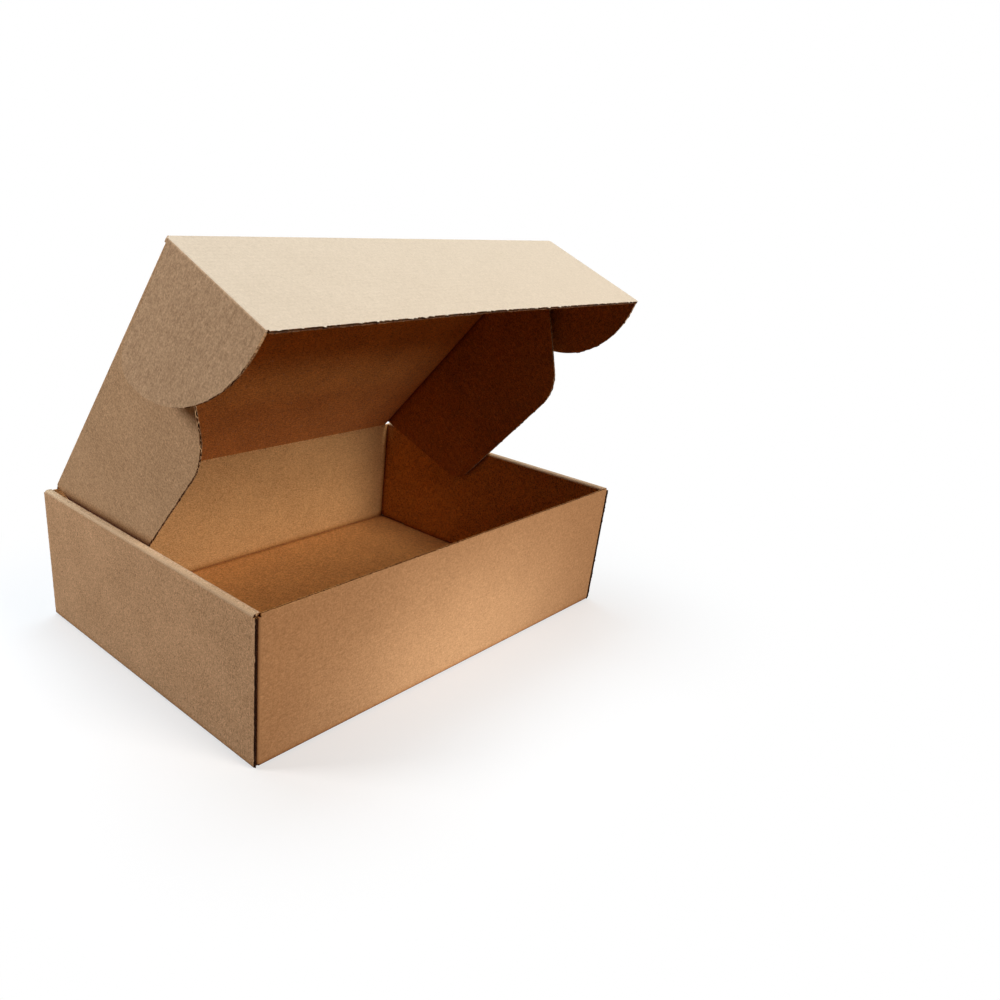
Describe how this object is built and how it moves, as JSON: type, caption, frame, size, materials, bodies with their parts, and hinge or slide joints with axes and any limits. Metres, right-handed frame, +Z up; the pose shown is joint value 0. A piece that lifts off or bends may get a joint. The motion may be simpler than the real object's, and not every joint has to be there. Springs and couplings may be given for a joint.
{
  "type": "corrugated mailer box",
  "caption": "Roll-end mailer box of thin corrugated board, standing open, with a hinged lid, a tuck flap, side wings and ears.",
  "frame": {"origin": "centre of the underside of the base, midway between the tray's sides and between its front and back walls", "axes": "+Z up, +X along the box's length to the right, front wall towards -Y, lid hinge along X at the back wall's top"},
  "size_m": [0.3536, 0.231, 0.2644],
  "materials": {
    "kraft_board": "uncoated brown kraft liner, matt, with fine fibre specks"
  },
  "bodies": {
    "tray": {"tray": "kraft_board"},
    "lid": {"lid": "kraft_board"},
    "tuck_flap": {"tuck_flap": "kraft_board"},
    "wing_left": {"wing_left": "kraft_board"},
    "wing_right": {"wing_right": "kraft_board"},
    "ear_left": {"ear_left": "kraft_board"},
    "ear_right": {"ear_right": "kraft_board"}
  },
  "joints": [
    {"name": "lid_hinge", "type": "hinge", "parent": "tray", "child": "lid", "pos_m": [0, 0.1147, 0.0932], "axis": [-1, 0, 0], "range_deg": [-25.7, 131.3]},
    {"name": "tuck_flap_fold", "type": "hinge", "parent": "lid", "child": "tuck_flap", "pos_m": [0, -0.03552, 0.26298], "axis": [-1, 0, 0], "range_deg": [-33.4, 71.6]},
    {"name": "wing_left_fold", "type": "hinge", "parent": "lid", "child": "wing_left", "pos_m": [-0.1606, 0.1141, 0.09267], "axis": [0, -0.66, 0.7513], "range_deg": [0, 75]},
    {"name": "wing_right_fold", "type": "hinge", "parent": "lid", "child": "wing_right", "pos_m": [0.1606, 0.1141, 0.09267], "axis": [0, 0.66, -0.7513], "range_deg": [0, 75]},
    {"name": "ear_left_fold", "type": "hinge", "parent": "tuck_flap", "child": "ear_left", "pos_m": [-0.1625, -0.03552, 0.26298], "axis": [0, 0.9212, 0.3891], "range_deg": [-15, 75]},
    {"name": "ear_right_fold", "type": "hinge", "parent": "tuck_flap", "child": "ear_right", "pos_m": [0.1625, -0.03552, 0.26298], "axis": [0, -0.9212, -0.3891], "range_deg": [-6, 84]}
  ]
}
